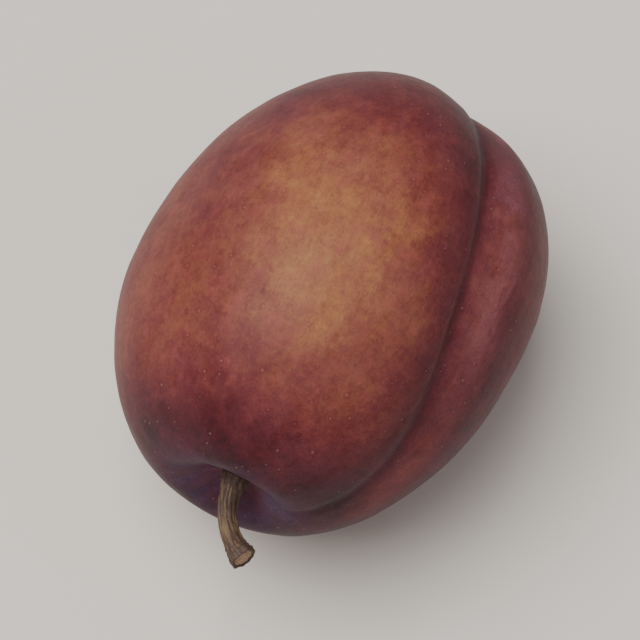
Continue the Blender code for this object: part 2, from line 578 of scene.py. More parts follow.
@dataclass(frozen=True)
class FruitForm:
    """The fruit's shape as a formula, the same as the frame's solid has."""

    length: float = 0.0410
    suture_width: float = 0.0335
    cheek_width: float = 0.0325
    tip_bluntness: float = 2.35
    stalk_end_bluntness: float = 2.08
    obliqueness: float = 0.040
    oblique_side: float = math.radians(55)
    suture_flattening: float = 0.020
    suture_flattening_spread: float = 0.95
    waves: tuple[Wave, ...] = (Wave(3.0, 1.1, 2.0, 0.0060), Wave(2.0, -0.6, -3.1, 0.0042))
    suture_twist: float = math.radians(18)
    suture_curl: float = math.radians(26)
    valley_depth: float = 0.0008
    valley_half_width: float = 0.0036
    crease_depth: float = 0.00035
    crease_half_width: float = 0.0007
    lobe_step: float = 0.00022
    lobe_step_reach: float = 0.0070
    valley_fade_radius: float = 0.0032
    crease_fade_radius: float = 0.0085
    groove_share_at_stalk: float = 0.6
    groove_fades_from: float = 0.10
    groove_fades_to: float = -0.75
    cavity_depth: float = 0.0038
    cavity_radius: float = 0.0041
    cavity_steepness: float = 2.3
    tip_dimple_depth: float = 0.0004
    tip_dimple_radius: float = 0.0019
    tip_scar_height: float = 0.00022
    tip_scar_radius: float = 0.0006

    def body_radius(self, height: FloatArray, azimuth: FloatArray) -> FloatArray:
        """Works out the plain body's distance from its axis.

        Args:
            height: Height along the axis, from -1 to 1.
            azimuth: Angle round the axis from the suture.

        Returns:
            The distance as a share of the body's width.
        """
        bluntness = np.where(height > 0.0, self.tip_bluntness, self.stalk_end_bluntness)
        radius = np.sqrt(np.maximum(1.0 - np.abs(height) ** bluntness, 0.0)) * 0.5
        shoulder = 2.0 * height * np.sqrt(np.maximum(1.0 - height * height, 0.0))
        radius *= 1.0 + self.obliqueness * shoulder * np.cos(azimuth - self.oblique_side)
        radius *= 1.0 - self.suture_flattening * bell(azimuth, self.suture_flattening_spread)
        swell = sum(
            wave.share * np.sin(wave.count * azimuth + wave.phase + wave.lean * height)
            for wave in self.waves
        )
        return radius * (1.0 + swell * (1.0 - height * height))

    def suture_azimuth(self, height: FloatArray) -> FloatArray:
        """Returns where round the axis the crease runs at a height."""
        return self.suture_curl * np.minimum(height, 0.0) ** 2 - self.suture_twist * height

    def across(self, height: FloatArray, radius: FloatArray, azimuth: FloatArray) -> FloatArray:
        """Returns the distance over the skin from the suture's crease, in metres."""
        return radius * (azimuth - self.suture_azimuth(height))

    def groove_depth(self, height: FloatArray, radius: FloatArray, azimuth: FloatArray) -> FloatArray:
        """Works out how far the suture sinks the skin.

        Args:
            height: Height along the axis, from -1 to 1.
            radius: Distance from the axis, in metres.
            azimuth: Angle round the axis from the suture.

        Returns:
            The depth in metres.
        """
        across = self.across(height, radius, azimuth)
        full = smooth_step(height, self.groove_fades_to, self.groove_fades_from)
        strength = self.groove_share_at_stalk + (1.0 - self.groove_share_at_stalk) * full
        near_axis = smooth_step(radius, 0.0, self.crease_fade_radius)
        valley = self.valley_depth * bell(across, self.valley_half_width)
        valley *= smooth_step(radius, 0.0, self.valley_fade_radius)
        crease = self.crease_depth * bell(across, self.crease_half_width) * near_axis
        lower_lobe = 0.5 + 0.5 * np.tanh(across / self.crease_half_width)
        step = self.lobe_step * lower_lobe * bell(across, self.lobe_step_reach) * near_axis
        return (valley + crease + step) * strength

    def end_sink(self, height: FloatArray, radius: FloatArray) -> FloatArray:
        """Works out how far the cavity or the tip's dimple moves the skin towards the middle.

        Args:
            height: Height along the axis, from -1 to 1.
            radius: Distance from the axis, in metres.

        Returns:
            The distance in metres.
        """
        cavity = self.cavity_depth * bell(radius, self.cavity_radius, self.cavity_steepness)
        dimple = self.tip_dimple_depth * bell(radius, self.tip_dimple_radius)
        dimple -= self.tip_scar_height * bell(radius, self.tip_scar_radius)
        return np.where(height < 0.0, cavity, dimple)

    def outward(self, polar: FloatArray, azimuth: FloatArray) -> FloatArray:
        """Works out the direction out of the skin, near enough.

        Args:
            polar: Angle from the tip, 0, to the stalk, pi.
            azimuth: Angle round the axis from the suture.

        Returns:
            A direction of length 1 for each point.
        """
        sideways = np.sin(polar)
        lengthwise = np.cos(polar) * self.cheek_width / self.length
        facing = np.stack([np.sin(azimuth) * sideways, lengthwise, np.cos(azimuth) * sideways], axis=-1)
        return facing / np.linalg.norm(facing, axis=-1, keepdims=True)

    def points(self, polar: FloatArray, azimuth: FloatArray) -> FloatArray:
        """Returns the skin's points.

        Args:
            polar: Angle from the tip, 0, to the stalk, pi.
            azimuth: Angle round the axis from the suture.

        Returns:
            Points with one more axis than the angles have, of size 3.
        """
        height = np.cos(polar)
        radius = self.body_radius(height, azimuth)
        across = np.sin(azimuth) * self.cheek_width * radius
        upward = np.cos(azimuth) * self.suture_width * radius
        distance = np.hypot(across, upward)
        found = np.stack([across, 0.5 * self.length * height, upward], axis=-1)
        found -= self.outward(polar, azimuth) * self.groove_depth(height, distance, azimuth)[..., None]
        found[..., 1] -= np.sign(height) * self.end_sink(height, distance)
        return found


@dataclass(frozen=True)
class RestingPose:
    """How the fruit lies: it is rolled about its axis, its stalk end raised a little, and then moved."""

    roll: float = math.radians(46)
    stalk_end_rise: float = math.radians(3)
    shift: tuple[float, float, float] = (0.0, 0.0, 0.0)

    def placed(self, points: FloatArray) -> FloatArray:
        """Returns points of the own frame where they lie."""
        turn = np.array(Euler((-self.stalk_end_rise, self.roll, 0.0), "YXZ").to_matrix())
        return points @ turn.T + np.array(self.shift)

    def settled(self, points: FloatArray, node: str) -> "RestingPose":
        """Returns the pose that brings points to a node of the frame.

        Args:
            points: Points of the own frame.
            node: Node whose middle and top they are brought to.

        Returns:
            The pose with its shift.
        """
        low, high = (np.array(corner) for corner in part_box(node))
        laid = self.placed(points).reshape(-1, 3)
        shift = (low + high) * 0.5 - (laid.min(axis=0) + laid.max(axis=0)) * 0.5
        shift[2] = high[2] - laid[:, 2].max()
        return replace(self, shift=tuple(shift))


def turns(count: int) -> FloatArray:
    """Returns angles spread evenly round a circle."""
    return math.tau * np.arange(count) / count


def round_points(radius: FloatArray, turn: FloatArray, along: FloatArray | float = 0.0) -> FloatArray:
    """Returns points round the Y axis at radii and angles, each moved along the axis."""
    level = np.broadcast_to(along, radius.shape)
    return np.stack([radius * np.sin(turn), level, radius * np.cos(turn)], axis=-1)


def with_ends(rings: FloatArray) -> FloatArray:
    """Returns the points of a row of rings, then the middles of the first ring and of the last."""
    return np.concatenate([rings.reshape(-1, 3), rings[[0, -1]].mean(axis=1)])


def skinned_mesh(name: str, rings: FloatArray, own: FloatArray) -> bpy.types.Mesh:
    """Skins a row of closed rings, closes both ends with a fan and keeps where the patterns lie.

    Args:
        name: The mesh's name.
        rings: Points of shape (rings, sides, 3), turning by the right hand about the way they advance.
        own: The same points in the frame of the patterns.

    Returns:
        A smooth mesh with its bake map and its own frame.
    """
    count, sides = rings.shape[:2]
    points = with_ends(rings)
    start_index, end_index = len(points) - 2, len(points) - 1
    faces: list[tuple[int, ...]] = []
    map_places: list[tuple[float, float]] = []
    levels = (np.arange(count) + 1.0) / (count + 1.0)
    for j in range(sides):
        k = (j + 1) % sides
        left, right = j / sides, (j + 1) / sides
        middle = 0.5 * (left + right)
        faces.append((start_index, k, j))
        map_places += [(middle, 0.0), (right, levels[0]), (left, levels[0])]
        last = (count - 1) * sides
        faces.append((end_index, last + j, last + k))
        map_places += [(middle, 1.0), (left, levels[-1]), (right, levels[-1])]
        for i in range(count - 1):
            low, high = i * sides, (i + 1) * sides
            faces.append((low + j, low + k, high + k, high + j))
            bottom, top = levels[i], levels[i + 1]
            map_places += [(left, bottom), (right, bottom), (right, top), (left, top)]
    mesh = bpy.data.meshes.new(name)
    mesh.from_pydata(points, [], faces)
    layer = mesh.uv_layers.new(name=BAKE_MAP)
    layer.data.foreach_set("uv", np.array(map_places, np.float32).ravel())
    carried = mesh.attributes.new(OWN_FRAME, "FLOAT_VECTOR", "POINT")
    carried.data.foreach_set("vector", (with_ends(own) / MM).astype(np.float32).ravel())
    mesh.shade_smooth()
    return mesh


def new_piece(mesh: bpy.types.Mesh, material: bpy.types.Material) -> bpy.types.Object:
    """Makes a mesh a piece of the plum that rides on its one body.

    Args:
        mesh: Mesh of the piece, which also gives its name.
        material: The piece's material.

    Returns:
        The piece.
    """
    mesh.materials.append(material)
    piece = bpy.data.objects.new(mesh.name, mesh)
    bpy.context.scene.collection.objects.link(piece)
    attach(piece, BODY)
    return piece


@dataclass(frozen=True)
class Blush:
    """One soft place on the skin that is riper, or less ripe, than the rest.

    The azimuth and the slant are in degrees, the half sizes in millimetres.
    """

    azimuth: float
    height: float
    half_width: float
    half_length: float
    ripeness: float
    slant: float = 0.0
    edge: float = 0.8

    def layer(self, graph: Graph, waved: Socket) -> Socket:
        """Returns what the place adds to the ripeness, from the vector that skin_spot reads."""
        spot = {name: value for name, value in asdict(self).items() if name != "ripeness"}
        return graph.product(graph.effect(skin_spot(), vector=waved, **spot), self.ripeness)


@dataclass(frozen=True)
class SkinPlace:
    """Where on the skin a shaded point lies, as values of the skin's graph, lengths in millimetres.

    Attributes:
        own: Place in the own frame.
        waved: Azimuth, height and distance from the axis, with waved lines for the blushes.
        height: Plain height, from -1 at the stalk end to 1 at the tip.
        across: Distance over the skin from the suture's crease.
        distance: Distance from the axis.
        off_axis: Mask that fades near the axis, where the suture's bands would run together.
    """

    own: Socket
    waved: Socket
    height: Socket
    across: Socket
    distance: Socket
    off_axis: Socket


@dataclass(frozen=True)
class SkinFinish:
    """The skin: a yellow ground under a red blush, dark at the stalk end and the suture, with a wax bloom;
    part of the darkness at both ends, the suture and the far lobe is painted shade, and part of the bloom
    beside the suture a painted highlight.

    Sizes are in millimetres and depths in metres. The mottling has rows of a blot's size and its
    strength, the streaking rows of a streak's width, its length and its strength.
    """

    # Ripeness, from yellow to nearly black
    ramp: Ramp = (
        (0.00, srgb(168, 118, 74)),
        (0.15, srgb(150, 98, 66)),
        (0.30, srgb(130, 76, 58)),
        (0.45, srgb(113, 55, 50)),
        (0.60, srgb(98, 41, 45)),
        (0.75, srgb(80, 31, 38)),
        (0.90, srgb(60, 26, 34)),
        (1.00, srgb(43, 20, 29)),
    )
    base_ripeness: float = 0.47
    blushes: tuple[Blush, ...] = (
        Blush(-46.0, -0.15, 7.4, 11.0, -0.27, slant=-30.0, edge=0.70),
        Blush(-48.0, -0.16, 4.4, 6.8, -0.07, slant=-30.0, edge=0.90),
        Blush(-92.0, -0.42, 4.5, 8.0, -0.08, slant=-15.0),
        Blush(38.0, -0.45, 8.0, 9.0, 0.12),
        Blush(-11.0, -0.19, 1.0, 1.6, -0.10, edge=0.7),
        Blush(-82.0, 0.40, 1.5, 1.0, 0.10, edge=0.9),
        Blush(-88.0, 0.42, 5.5, 4.5, 0.09),
        Blush(-29.0, 0.08, 3.2, 8.5, -0.07, slant=-18.0),
        Blush(-72.0, -0.06, 2.6, 7.0, 0.04, slant=-20.0),
        Blush(-22.0, -0.58, 3.6, 3.6, 0.09),
        Blush(13.0, 0.05, 2.4, 4.0, -0.08),
        Blush(150.0, -0.05, 11.0, 13.0, -0.36, slant=20.0, edge=0.7),
        Blush(95.0, 0.30, 6.0, 8.0, -0.16, slant=30.0),
        Blush(-150.0, 0.35, 6.0, 7.0, -0.10),
        Blush(70.0, -0.30, 4.0, 6.0, 0.10),
    )
    azimuth_wave_size: float = 5.0
    azimuth_wave_degrees: float = 34.0
    height_wave_size: float = 4.0
    height_wave: float = 0.42
    # Darker towards the stalk end: partly the skin's own colour, partly painted shade
    stalk_end: Course = (-0.62, -1.07, 0.0, 0.50)
    # Darker towards the tip: partly redder skin, partly a painted shadow cast by a neighbouring fruit
    tip: Course = (0.34, 0.66, 0.0, 0.19)
    off_axis: Ends = (1.5, 7.5)
    # A darker line along the suture's crease
    crease_width: float = 0.85
    crease_darkening: float = 0.10
    # Painted shade: a dark band on the crease's near side, where the lobe turns away from the light
    painted_shade_offset: float = 1.3
    painted_shade_width: float = 2.3
    painted_crease_shade: float = 0.18
    # The far lobe darker: partly its own colour, partly painted shade
    far_lobe_start: Ends = (2.8, 6.5)
    far_lobe_end: Ends = (16.5, 11.5)
    far_lobe_heights: Course = (0.60, 0.10, 0.25, 1.0)
    far_lobe_ripeness_and_shade: float = 0.22
    blot_contrast: float = 3.4
    mottling: tuple[tuple[float, float], ...] = ((7.0, 0.12), (1.9, 0.09), (0.55, 0.07), (0.20, 0.07))
    streaking: tuple[tuple[float, float, float], ...] = ((0.5, 2.4, 0.025), (0.14, 0.8, 0.03))

    # Rosy flecks in the yellow
    rose: Colour = srgb(150, 76, 72)
    rose_share: float = 0.5
    rose_ripeness: Ends = (0.75, 0.35)
    fleck_size: float = 1.5
    fleck_reach: Ends = (-0.1, 0.9)

    # Pale lenticels, each in a darker halo
    lenticel: Colour = srgb(168, 118, 100)
    lenticel_spacing: float = 0.90
    lenticel_share: float = 0.75
    lenticel_size: float = 0.125
    lenticel_strength: Course = (0.15, 0.8, 0.30, 0.42)
    halo_size: float = 0.34
    halo_ripeness: float = 0.06

    # Wax bloom, more of it in the cavity and in a strip beside the suture; the strip is partly wax and
    # partly a painted highlight along the lobe's ridge
    bloom: Colour = srgb(152, 98, 110)
    cold_bloom: Colour = srgb(108, 88, 122)
    bloom_cover: float = 0.15
    bloom_patch_size: float = 5.5
    bloom_rubbing: float = 0.55
    cavity_bloom: float = 0.34
    cavity_reach: Ends = (8.5, 4.0)
    cavity_heights: Ends = (-0.6, -0.85)
    strip_bloom_and_highlight: float = 0.52
    strip_offset: float = 3.3
    strip_width: float = 1.9
    strip_heights: Course = (-0.45, 0.15, 0.25, 1.0)

    # Relief and gloss
    grain_size: float = 0.35
    grain_depth: float = 0.000012
    ripple_size: float = 1.4
    ripple_depth: float = 0.00003
    lenticel_depth: float = 0.000008
    bloom_roughness: Course = (0.0, 0.4, 0.47, 0.62)
    grain_roughness: Course = (*NOISE_ENDS, -0.03, 0.03)
    coat_weight: Course = (0.03, 0.25, 0.08, 0.0)
    coat_roughness: float = 0.30
    specular: float = 0.09
    flesh_glow: float = 0.12
    flesh_glow_radius: tuple[float, float, float] = (1.0, 0.35, 0.18)
    flesh_glow_scale: float = 0.0016

    def material(self, form: FruitForm) -> bpy.types.Material:
        """Builds the skin's material.

        Args:
            form: The fruit that the patterns are laid out on.

        Returns:
            The material.
        """
        material, graph, shader = new_finish("plum skin")
        place = self._place(graph, form)
        dots = self._dots(graph, place, self.lenticel_size)
        halos = self._dots(graph, place, self.halo_size)
        ripeness = graph.calc("MULTIPLY_ADD", halos, self.halo_ripeness, self._ripeness(graph, place))
        colour = self._colour(graph, place, ripeness, dots)
        near_stalk = graph.span(place.distance, *self.cavity_reach)
        in_cavity = graph.product(near_stalk, graph.span(place.height, *self.cavity_heights))
        bloom = self._bloom(graph, place, in_cavity)
        colour = graph.mix(bloom, colour, graph.mix(in_cavity, self.bloom, self.cold_bloom))
        grain = graph.noise(place.own, self.grain_size, detail=2.0)
        rough = graph.total(
            graph.span(bloom, *self.bloom_roughness),
            graph.span(grain, *self.grain_roughness),
        )
        graph.feed(shader.inputs["Base Color"], colour)
        graph.feed(shader.inputs["Roughness"], rough)
        graph.feed(shader.inputs["Coat Weight"], graph.span(bloom, *self.coat_weight))
        graph.feed(shader.inputs["Normal"], self._relief(graph, place, grain, dots))
        shader.inputs["Coat Roughness"].default_value = self.coat_roughness
        shader.inputs["Specular IOR Level"].default_value = self.specular
        shader.inputs["Subsurface Weight"].default_value = self.flesh_glow
        shader.inputs["Subsurface Radius"].default_value = self.flesh_glow_radius
        shader.inputs["Subsurface Scale"].default_value = self.flesh_glow_scale
        return material

    def _place(self, graph: Graph, form: FruitForm) -> SkinPlace:
        """Works out where on the skin a point lies.

        Args:
            graph: The material's graph.
            form: The fruit that the patterns are laid out on.

        Returns:
            The values that the patterns read.
        """
        own = own_frame(graph)
        side, along, upward = graph.parts(own)
        height = graph.calc("DIVIDE", along, 0.5 * form.length / MM)
        distance = graph.hypot(side, upward)
        angle = graph.calc("ARCTAN2", side, upward)
        below = graph.calc("MINIMUM", height, 0.0)
        untwisted = graph.calc("MULTIPLY_ADD", height, form.suture_twist, angle)
        from_crease = graph.calc("MULTIPLY_ADD", graph.product(below, below), -form.suture_curl, untwisted)
        turned = graph.swing(own, self.azimuth_wave_size, detail=4.0, roughness=0.6)
        lifted = graph.swing(graph.scaled(own, MIRRORED), self.height_wave_size, detail=4.0)
        waved = graph.joined(
            graph.calc("MULTIPLY_ADD", turned, self.azimuth_wave_degrees, graph.calc("DEGREES", angle)),
            graph.calc("MULTIPLY_ADD", lifted, self.height_wave, height),
            distance,
        )
        return SkinPlace(
            own=own,
            waved=waved,
            height=height,
            across=graph.product(from_crease, distance),
            distance=distance,
            off_axis=graph.span(distance, *self.off_axis),
        )

    def _ripeness(self, graph: Graph, place: SkinPlace) -> Socket:
        """Adds up how ripe the skin is, with painted shade beside the crease, on the far lobe and at both
        ends mixed in.

        Args:
            graph: The material's graph.
            place: Where the point lies.

        Returns:
            The ripeness, from 0, yellow, to 1, nearly black.
        """
        crease = graph.product(graph.bell(place.across, self.crease_width), self.crease_darkening)
        # Painted shade: the dark band beside the crease, added to the ripeness
        beside = graph.calc("ADD", place.across, self.painted_shade_offset)
        shade = graph.product(graph.bell(beside, self.painted_shade_width), self.painted_crease_shade)
        # Far lobe darker, partly its own colour and partly painted shade
        far_lobe = graph.product(
            graph.span(place.across, *self.far_lobe_start),
            graph.span(place.across, *self.far_lobe_end),
            graph.span(place.height, *self.far_lobe_heights),
            self.far_lobe_ripeness_and_shade,
        )
        layers = [
            # Darker at the stalk end: partly own colour, partly painted shade
            graph.span(place.height, *self.stalk_end),
            # Darker at the tip: partly redder skin, partly a painted shadow from a neighbouring fruit
            graph.span(place.height, *self.tip),
            graph.product(graph.total(crease, shade, far_lobe), place.off_axis),
        ]
        for size, strength in self.mottling:
            blots = graph.effect(mottle(), vector=place.own, size=size, contrast=self.blot_contrast)
            layers.append(graph.product(blots, strength))
        for width, length, strength in self.streaking:
            lines = graph.effect(streaks(), vector=place.own, width=width, length=length)
            layers.append(graph.span(lines, *NOISE_ENDS, -strength, strength))
        layers += [blush.layer(graph, place.waved) for blush in self.blushes]
        return graph.total(self.base_ripeness, *layers, clamp=True)

    def _dots(self, graph: Graph, place: SkinPlace, size: float) -> Socket:
        """Makes the mask of the lenticels, or with a larger size that of their halos.

        Args:
            graph: The material's graph.
            place: Where the point lies.
            size: Usual radius of a dot, in millimetres.

        Returns:
            The mask.
        """
        return graph.effect(
            speckle(), vector=place.own, spacing=self.lenticel_spacing, size=size, share=self.lenticel_share
        )

    def _colour(self, graph: Graph, place: SkinPlace, ripeness: Socket, dots: Socket) -> Socket:
        """Makes the colour of the skin without its bloom.

        Args:
            graph: The material's graph.
            place: Where the point lies.
            ripeness: How ripe the skin is.
            dots: Mask of the lenticels.

        Returns:
            The colour.
        """
        flecks = graph.effect(mottle(), vector=place.own, size=self.fleck_size, contrast=self.blot_contrast)
        rosy = graph.product(
            graph.span(flecks, *self.fleck_reach),
            graph.span(ripeness, *self.rose_ripeness),
            self.rose_share,
        )
        colour = graph.mix(rosy, graph.ramp(ripeness, self.ramp), self.rose)
        strength = graph.span(ripeness, *self.lenticel_strength, ease=Ease.EVEN)
        return graph.mix(graph.product(dots, strength), colour, self.lenticel)

    def _bloom(self, graph: Graph, place: SkinPlace, in_cavity: Socket) -> Socket:
        """Works out how much wax covers the skin: more in the cavity and in the strip beside the suture,
        whose extra cover is partly a painted highlight.

        Args:
            graph: The material's graph.
            place: Where the point lies.
            in_cavity: Mask of the cavity and its rim.

        Returns:
            The cover, from 0 to 1.
        """
        # The strip beside the suture: partly wax bloom, partly a painted highlight on the far lobe's ridge
        strip = graph.bell(graph.calc("SUBTRACT", place.across, self.strip_offset), self.strip_width)
        strip = graph.product(strip, place.off_axis, graph.span(place.height, *self.strip_heights))
        cover = graph.total(
            self.bloom_cover,
            graph.product(in_cavity, self.cavity_bloom),
            graph.product(strip, self.strip_bloom_and_highlight),
        )
        patch, rubbing = self.bloom_patch_size, self.bloom_rubbing
        return graph.effect(wax(), vector=place.own, cover=cover, patch_size=patch, rubbing=rubbing)

    def _relief(self, graph: Graph, place: SkinPlace, grain: Socket, dots: Socket) -> Socket:
        """Bends the normal by the skin's fine grain, its ripples and its raised lenticels.

        Args:
            graph: The material's graph.
            place: Where the point lies.
            grain: The fine grain.
            dots: Mask of the lenticels.

        Returns:
            The bent normal.
        """
        normal = graph.relief(grain, self.grain_depth)
        ripples = graph.noise(place.own, self.ripple_size)
        normal = graph.relief(ripples, self.ripple_depth, normal)
        return graph.relief(dots, self.lenticel_depth, normal)


@dataclass(frozen=True)
class Dent:
    """One shallow dent of the skin: its azimuth in degrees, its height, its reach and its depth."""

    azimuth: float
    height: float
    reach: float
    depth: float


@dataclass
class Fruit:
    """The fruit's visible body, finer than the frame's solid, with the small unevenness of a real skin."""

    form: FruitForm = field(default_factory=FruitForm)
    finish: SkinFinish = field(default_factory=SkinFinish)
    rings: int = 200
    meridians: int = 360
    ring_crowding: float = 0.20
    meridian_crowding: float = 0.50
    swell_height: float = 0.00010
    swell_size: float = 0.0085
    ripple_height: float = 0.000030
    ripple_size: float = 0.0022
    pleat_count: int = 11
    pleat_waver: float = 1.3
    pleat_waver_phase: float = 0.7
    pleat_height: float = 0.00007
    pleat_radius: float = 0.0026
    pleat_reach: float = 0.0017
    dents: tuple[Dent, ...] = (
        Dent(-98.0, -0.05, 0.0042, 0.00022),
        Dent(-30.0, 0.52, 0.0036, 0.00014),
        Dent(62.0, 0.10, 0.0048, 0.00022),
        Dent(135.0, -0.35, 0.0050, 0.00026),
        Dent(-150.0, 0.20, 0.0045, 0.00020),
    )
    rest_softening: float = 0.00008

    def angles(self) -> tuple[FloatArray, FloatArray]:
        """Spreads the skin's points, closer together at both ends and beside the suture.

        Returns:
            The polar angle and the azimuth of every point, with the rings from the stalk to the tip.
        """
        polar = np.pi * (1.0 - (np.arange(self.rings) + 1.0) / (self.rings + 1.0))
        polar = polar - self.ring_crowding * np.sin(2.0 * polar)
        azimuth = turns(self.meridians) - np.pi
        azimuth = azimuth - self.meridian_crowding * np.sin(azimuth)
        polar_grid, azimuth_grid = np.meshgrid(polar, azimuth, indexing="ij")
        return polar_grid, azimuth_grid

    def unevenness(self, points: FloatArray, polar: FloatArray, azimuth: FloatArray) -> FloatArray:
        """Returns how far each skin point stands out from the plain form.

        Args:
            points: Points of shape (count, 3).
            polar: Their polar angles.
            azimuth: Their azimuths.

        Returns:
            One height for each point, in metres.
        """
        lift = self.swell_height * rough_noise(points, self.swell_size)
        lift += self.ripple_height * rough_noise(points + self.swell_size, self.ripple_size)
        distance = np.hypot(points[:, 0], points[:, 2])
        waver = self.pleat_waver * np.sin(2.0 * azimuth + self.pleat_waver_phase)
        near_stalk = bell(distance - self.pleat_radius, self.pleat_reach) * (polar > 0.5 * np.pi)
        lift += self.pleat_height * np.cos(self.pleat_count * azimuth + waver) * near_stalk
        for dent in self.dents:
            polar_angle = np.array(math.acos(dent.height))
            middle = self.form.points(polar_angle, np.array(math.radians(dent.azimuth)))
            lift -= dent.depth * bell(np.linalg.norm(points - middle, axis=1), dent.reach)
        return lift

    def own_points(self) -> FloatArray:
        """Shapes the skin in the own frame.

        Returns:
            The rings, from the stalk to the tip.
        """
        polar, azimuth = self.angles()
        plain = self.form.points(polar, azimuth)
        lift = self.unevenness(plain.reshape(-1, 3), polar.ravel(), azimuth.ravel())
        rings = plain + self.form.outward(polar, azimuth) * lift.reshape(polar.shape)[..., None]
        sizes = np.array([self.form.cheek_width, self.form.length, self.form.suture_width])
        return rings * sizes / (rings.max(axis=(0, 1)) - rings.min(axis=(0, 1)))

    def rested(self, points: FloatArray) -> FloatArray:
        """Presses the underside flat on the floor plane.

        Args:
            points: Points of the skin, where they lie.

        Returns:
            The same points, none of them below the floor.
        """
        height = points[..., 2]
        points[..., 2] = 0.5 * (height + np.sqrt(height * height + self.rest_softening ** 2))
        return points

    def build(self, rings: FloatArray, pose: RestingPose) -> bpy.types.Object:
        """Builds the fruit where the frame's solid lies.

        Args:
            rings: The skin's rings in the own frame.
            pose: The settled resting pose.

        Returns:
            The fruit's piece.
        """
        mesh = skinned_mesh("plum_fruit", self.rested(pose.placed(rings)), rings)
        piece = new_piece(mesh, self.finish.material(self.form))
        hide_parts("fruit")
        return piece


@dataclass(frozen=True)
class BarkFinish:
    """The stalk's bark: brown and fibrous, corky at both ends, with pale pores and a little dust.

    Sizes are in millimetres and depths in metres. The foot and the tip are given as shares of the length.
    """

    ramp: Ramp = (
        (0.0, srgb(46, 33, 25)),
        (0.35, srgb(72, 51, 36)),
        (0.65, srgb(94, 70, 48)),
        (1.0, srgb(122, 98, 66)),
    )
    fibre_width: float = 0.16
    fibre_length: float = 2.2
    fibre_depth: float = 0.00005
    blot_size: float = 1.3
    blot_contrast: float = 3.0
    blot_share: float = 0.22
    tone_shift: float = -0.05
    cork: Colour = srgb(62, 42, 31)
    cork_share: float = 0.72
    foot: Ends = (0.26, 0.02)
    tip: Ends = (0.80, 0.97)
    pore: Colour = srgb(134, 110, 82)
    pore_spacing: float = 0.55
    pore_size: float = 0.07
    pore_share: float = 0.5
    pore_strength: float = 0.5
    pore_depth: float = 0.00002
    dust: Colour = srgb(148, 130, 134)
    dust_cover: float = 0.12
    dust_patch_size: float = 1.5
    dust_rubbing: float = 0.4
    roughness: Course = (0.0, 1.0, 0.84, 0.62)

    def material(self, length: float) -> bpy.types.Material:
        """Builds the bark's material.

        Args:
            length: The stalk's length in metres.

        Returns:
            The material.
        """
        material, graph, shader = new_finish("stalk bark")
        own = own_frame(graph)
        share = graph.calc("DIVIDE", graph.parts(own)[1], length / MM)
        fibres = graph.effect(streaks(), vector=own, width=self.fibre_width, length=self.fibre_length)
        blots = graph.effect(mottle(), vector=own, size=self.blot_size, contrast=self.blot_contrast)
        strands = graph.span(fibres, *NOISE_ENDS)
        tone = graph.total(strands, graph.product(blots, self.blot_share), self.tone_shift, clamp=True)
        corky = graph.calc("MAXIMUM", graph.span(share, *self.foot), graph.span(share, *self.tip))
        colour = graph.mix(graph.product(corky, self.cork_share), graph.ramp(tone, self.ramp), self.cork)
        pores = graph.effect(
            speckle(), vector=own, spacing=self.pore_spacing, size=self.pore_size, share=self.pore_share
        )
        colour = graph.mix(graph.product(pores, self.pore_strength), colour, self.pore)
        patch, rubbing = self.dust_patch_size, self.dust_rubbing
        dust = graph.effect(wax(), vector=own, cover=self.dust_cover, patch_size=patch, rubbing=rubbing)
        graph.feed(shader.inputs["Base Color"], graph.mix(dust, colour, self.dust))
        graph.feed(shader.inputs["Roughness"], graph.span(tone, *self.roughness, ease=Ease.EVEN))
        raised = graph.relief(fibres, self.fibre_depth)
        graph.feed(shader.inputs["Normal"], graph.relief(pores, self.pore_depth, raised))
        return material


@dataclass(frozen=True)
class CorkFinish:
    """A dried face: the stalk's torn end, or the scar at the tip.

    Sizes are in millimetres, the depth in metres and the waver as a share of the rings' size.
    """

    name: str
    pale: Colour
    dark: Colour
    ring_size: float
    ring_strength: float
    ring_waver: float = 0.25
    blot_size: float = 0.25
    blot_contrast: float = 3.0
    blot_share: float = 0.28
    middle_tone: float = 0.5
    roughness: Course = (0.0, 1.0, 0.9, 0.75)
    depth: float = 0.00004

    def material(self) -> bpy.types.Material:
        """Builds the face's material, with rings round its own middle.

        Returns:
            The material.
        """
        material, graph, shader = new_finish(self.name)
        own = own_frame(graph)
        side, _, upward = graph.parts(own)
        blots = graph.effect(mottle(), vector=own, size=self.blot_size, contrast=self.blot_contrast)
        waver = self.ring_waver * self.ring_size
        away = graph.calc("MULTIPLY_ADD", blots, waver, graph.hypot(side, upward))
        rings = graph.calc("SINE", graph.calc("MULTIPLY", away, math.tau / self.ring_size))
        ringed = graph.product(rings, self.ring_strength)
        tone = graph.total(ringed, graph.product(blots, self.blot_share), self.middle_tone, clamp=True)
        graph.feed(shader.inputs["Base Color"], graph.mix(tone, self.dark, self.pale))
        graph.feed(shader.inputs["Roughness"], graph.span(tone, *self.roughness, ease=Ease.EVEN))
        graph.feed(shader.inputs["Normal"], graph.relief(tone, self.depth))
        return material


